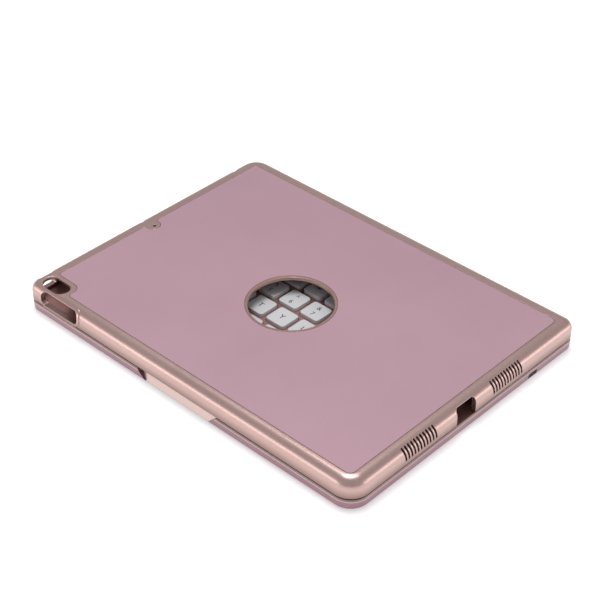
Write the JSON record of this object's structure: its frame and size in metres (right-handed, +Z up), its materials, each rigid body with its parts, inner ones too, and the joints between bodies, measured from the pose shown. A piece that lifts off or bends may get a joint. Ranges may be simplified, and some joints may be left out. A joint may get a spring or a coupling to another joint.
{
  "type": "tablet keyboard case",
  "caption": "Clamshell keyboard case: a tablet shell with a round window, hinged on a thin keyboard base with sprung keys.",
  "frame": {"origin": "middle of the bottom of the closed case, on the surface it rests on", "axes": "+X along the long edge, -Y to the front with the finger scoop, +Y to the hinges, +Z up"},
  "size_m": [0.2577, 0.1968, 0.0203],
  "materials": {
    "frame_rose": "satin rose-gold metallic coat",
    "plate_mauve": "fine blasted mauve anodise",
    "ring_rose": "satin rose-gold anodise",
    "deck_rose": "fine blasted rose anodise, polished edge",
    "tray_mauve": "satin mauve coat",
    "key_grey": "fine matt light grey",
    "rubber_dark": "matt",
    "dome_rubber": "translucent silicone",
    "steel": "bright",
    "magnet": "nickel plated",
    "glue": "double-sided film",
    "scissor_white": "moulded",
    "membrane": "printed film",
    "board_green": "lacquered laminate",
    "cell": "foil pouch",
    "lens": "clear",
    "switch_black": "moulded",
    "pad": "soft foam film"
  },
  "bodies": {
    "base": {"base_tray": "tray_mauve", "deck_plate": "deck_rose", "rubber_feet": "rubber_dark", "base_screws": "steel", "screen_bumpers": "rubber_dark", "keeper_magnets": "magnet", "indicator_lenses": "lens", "battery_cell": "cell", "main_board": "board_green", "charging_port": "steel", "power_switch_housing": "switch_black", "scissor_frames": "scissor_white", "rubber_domes": "dome_rubber", "membrane_sheet": "membrane", "key_support_plate": "steel", "base_hinge_brackets": "steel", "base_hinge_screws": "steel", "hinge_pins": "steel", "friction_washers": "steel", "hinge_end_caps": "deck_rose"},
    "lid": {"lid_frame": "frame_rose", "back_plate": "plate_mauve", "plate_adhesive": "glue", "window_ring": "ring_rose", "tray_pads": "pad", "lid_magnets": "magnet", "lid_hinge_arms": "steel", "lid_hinge_screws": "steel"},
    "power_switch": {"power_switch_knob": "switch_black"},
    "key_q": {"key_q": "key_grey"},
    "key_w": {"key_w": "key_grey"},
    "key_e": {"key_e": "key_grey"},
    "key_r": {"key_r": "key_grey"},
    "key_t": {"key_t": "key_grey"},
    "key_y": {"key_y": "key_grey"},
    "key_u": {"key_u": "key_grey"},
    "key_i": {"key_i": "key_grey"},
    "key_o": {"key_o": "key_grey"},
    "key_p": {"key_p": "key_grey"},
    "key_a": {"key_a": "key_grey"},
    "key_s": {"key_s": "key_grey"},
    "key_d": {"key_d": "key_grey"},
    "key_f": {"key_f": "key_grey"},
    "key_g": {"key_g": "key_grey"},
    "key_h": {"key_h": "key_grey"},
    "key_j": {"key_j": "key_grey"},
    "key_k": {"key_k": "key_grey"},
    "key_l": {"key_l": "key_grey"},
    "key_z": {"key_z": "key_grey"},
    "key_x": {"key_x": "key_grey"},
    "key_c": {"key_c": "key_grey"},
    "key_v": {"key_v": "key_grey"},
    "key_b": {"key_b": "key_grey"},
    "key_n": {"key_n": "key_grey"},
    "key_m": {"key_m": "key_grey"},
    "space_bar": {"space_bar": "key_grey"},
    "number_keys": {"number_keys": "key_grey"},
    "symbol_keys": {"symbol_keys": "key_grey"},
    "function_keys": {"function_keys": "key_grey"},
    "control_keys": {"control_keys": "key_grey"}
  },
  "joints": [
    {"name": "lid_hinge", "type": "hinge", "parent": "base", "child": "lid", "pos_m": [0, 0.09388, 0.0072], "axis": [-1, 0, 0], "range_deg": [0, 135]},
    {"name": "power_switch_slide", "type": "slide", "parent": "base", "child": "power_switch", "axis": [0, 1, 0], "range_m": [0, 0.003]},
    {"name": "key_q_press", "type": "slide", "parent": "base", "child": "key_q", "axis": [0, 0, -1], "range_m": [0, 0.0012], "stiffness_N_per_m": 500, "springref_m": -0.0002, "deforming": ["rubber_domes", "scissor_frames"]},
    {"name": "key_w_press", "type": "slide", "parent": "base", "child": "key_w", "axis": [0, 0, -1], "range_m": [0, 0.0012], "stiffness_N_per_m": 500, "springref_m": -0.0002, "deforming": ["rubber_domes", "scissor_frames"]},
    {"name": "key_e_press", "type": "slide", "parent": "base", "child": "key_e", "axis": [0, 0, -1], "range_m": [0, 0.0012], "stiffness_N_per_m": 500, "springref_m": -0.0002, "deforming": ["rubber_domes", "scissor_frames"]},
    {"name": "key_r_press", "type": "slide", "parent": "base", "child": "key_r", "axis": [0, 0, -1], "range_m": [0, 0.0012], "stiffness_N_per_m": 500, "springref_m": -0.0002, "deforming": ["rubber_domes", "scissor_frames"]},
    {"name": "key_t_press", "type": "slide", "parent": "base", "child": "key_t", "axis": [0, 0, -1], "range_m": [0, 0.0012], "stiffness_N_per_m": 500, "springref_m": -0.0002, "deforming": ["rubber_domes", "scissor_frames"]},
    {"name": "key_y_press", "type": "slide", "parent": "base", "child": "key_y", "axis": [0, 0, -1], "range_m": [0, 0.0012], "stiffness_N_per_m": 500, "springref_m": -0.0002, "deforming": ["rubber_domes", "scissor_frames"]},
    {"name": "key_u_press", "type": "slide", "parent": "base", "child": "key_u", "axis": [0, 0, -1], "range_m": [0, 0.0012], "stiffness_N_per_m": 500, "springref_m": -0.0002, "deforming": ["rubber_domes", "scissor_frames"]},
    {"name": "key_i_press", "type": "slide", "parent": "base", "child": "key_i", "axis": [0, 0, -1], "range_m": [0, 0.0012], "stiffness_N_per_m": 500, "springref_m": -0.0002, "deforming": ["rubber_domes", "scissor_frames"]},
    {"name": "key_o_press", "type": "slide", "parent": "base", "child": "key_o", "axis": [0, 0, -1], "range_m": [0, 0.0012], "stiffness_N_per_m": 500, "springref_m": -0.0002, "deforming": ["rubber_domes", "scissor_frames"]},
    {"name": "key_p_press", "type": "slide", "parent": "base", "child": "key_p", "axis": [0, 0, -1], "range_m": [0, 0.0012], "stiffness_N_per_m": 500, "springref_m": -0.0002, "deforming": ["rubber_domes", "scissor_frames"]},
    {"name": "key_a_press", "type": "slide", "parent": "base", "child": "key_a", "axis": [0, 0, -1], "range_m": [0, 0.0012], "stiffness_N_per_m": 500, "springref_m": -0.0002, "deforming": ["rubber_domes", "scissor_frames"]},
    {"name": "key_s_press", "type": "slide", "parent": "base", "child": "key_s", "axis": [0, 0, -1], "range_m": [0, 0.0012], "stiffness_N_per_m": 500, "springref_m": -0.0002, "deforming": ["rubber_domes", "scissor_frames"]},
    {"name": "key_d_press", "type": "slide", "parent": "base", "child": "key_d", "axis": [0, 0, -1], "range_m": [0, 0.0012], "stiffness_N_per_m": 500, "springref_m": -0.0002, "deforming": ["rubber_domes", "scissor_frames"]},
    {"name": "key_f_press", "type": "slide", "parent": "base", "child": "key_f", "axis": [0, 0, -1], "range_m": [0, 0.0012], "stiffness_N_per_m": 500, "springref_m": -0.0002, "deforming": ["rubber_domes", "scissor_frames"]},
    {"name": "key_g_press", "type": "slide", "parent": "base", "child": "key_g", "axis": [0, 0, -1], "range_m": [0, 0.0012], "stiffness_N_per_m": 500, "springref_m": -0.0002, "deforming": ["rubber_domes", "scissor_frames"]},
    {"name": "key_h_press", "type": "slide", "parent": "base", "child": "key_h", "axis": [0, 0, -1], "range_m": [0, 0.0012], "stiffness_N_per_m": 500, "springref_m": -0.0002, "deforming": ["rubber_domes", "scissor_frames"]},
    {"name": "key_j_press", "type": "slide", "parent": "base", "child": "key_j", "axis": [0, 0, -1], "range_m": [0, 0.0012], "stiffness_N_per_m": 500, "springref_m": -0.0002, "deforming": ["rubber_domes", "scissor_frames"]},
    {"name": "key_k_press", "type": "slide", "parent": "base", "child": "key_k", "axis": [0, 0, -1], "range_m": [0, 0.0012], "stiffness_N_per_m": 500, "springref_m": -0.0002, "deforming": ["rubber_domes", "scissor_frames"]},
    {"name": "key_l_press", "type": "slide", "parent": "base", "child": "key_l", "axis": [0, 0, -1], "range_m": [0, 0.0012], "stiffness_N_per_m": 500, "springref_m": -0.0002, "deforming": ["rubber_domes", "scissor_frames"]},
    {"name": "key_z_press", "type": "slide", "parent": "base", "child": "key_z", "axis": [0, 0, -1], "range_m": [0, 0.0012], "stiffness_N_per_m": 500, "springref_m": -0.0002, "deforming": ["rubber_domes", "scissor_frames"]},
    {"name": "key_x_press", "type": "slide", "parent": "base", "child": "key_x", "axis": [0, 0, -1], "range_m": [0, 0.0012], "stiffness_N_per_m": 500, "springref_m": -0.0002, "deforming": ["rubber_domes", "scissor_frames"]},
    {"name": "key_c_press", "type": "slide", "parent": "base", "child": "key_c", "axis": [0, 0, -1], "range_m": [0, 0.0012], "stiffness_N_per_m": 500, "springref_m": -0.0002, "deforming": ["rubber_domes", "scissor_frames"]},
    {"name": "key_v_press", "type": "slide", "parent": "base", "child": "key_v", "axis": [0, 0, -1], "range_m": [0, 0.0012], "stiffness_N_per_m": 500, "springref_m": -0.0002, "deforming": ["rubber_domes", "scissor_frames"]},
    {"name": "key_b_press", "type": "slide", "parent": "base", "child": "key_b", "axis": [0, 0, -1], "range_m": [0, 0.0012], "stiffness_N_per_m": 500, "springref_m": -0.0002, "deforming": ["rubber_domes", "scissor_frames"]},
    {"name": "key_n_press", "type": "slide", "parent": "base", "child": "key_n", "axis": [0, 0, -1], "range_m": [0, 0.0012], "stiffness_N_per_m": 500, "springref_m": -0.0002, "deforming": ["rubber_domes", "scissor_frames"]},
    {"name": "key_m_press", "type": "slide", "parent": "base", "child": "key_m", "axis": [0, 0, -1], "range_m": [0, 0.0012], "stiffness_N_per_m": 500, "springref_m": -0.0002, "deforming": ["rubber_domes", "scissor_frames"]},
    {"name": "space_bar_press", "type": "slide", "parent": "base", "child": "space_bar", "axis": [0, 0, -1], "range_m": [0, 0.0012], "stiffness_N_per_m": 500, "springref_m": -0.0002, "deforming": ["rubber_domes", "scissor_frames"]},
    {"name": "number_keys_press", "type": "slide", "parent": "base", "child": "number_keys", "axis": [0, 0, -1], "range_m": [0, 0.0012], "stiffness_N_per_m": 500, "springref_m": -0.0002, "deforming": ["rubber_domes", "scissor_frames"]},
    {"name": "symbol_keys_press", "type": "slide", "parent": "base", "child": "symbol_keys", "axis": [0, 0, -1], "range_m": [0, 0.0012], "stiffness_N_per_m": 500, "springref_m": -0.0002, "deforming": ["rubber_domes", "scissor_frames"]},
    {"name": "function_keys_press", "type": "slide", "parent": "base", "child": "function_keys", "axis": [0, 0, -1], "range_m": [0, 0.0012], "stiffness_N_per_m": 500, "springref_m": -0.0002, "deforming": ["rubber_domes", "scissor_frames"]},
    {"name": "control_keys_press", "type": "slide", "parent": "base", "child": "control_keys", "axis": [0, 0, -1], "range_m": [0, 0.0012], "stiffness_N_per_m": 500, "springref_m": -0.0002, "deforming": ["rubber_domes", "scissor_frames"]}
  ]
}
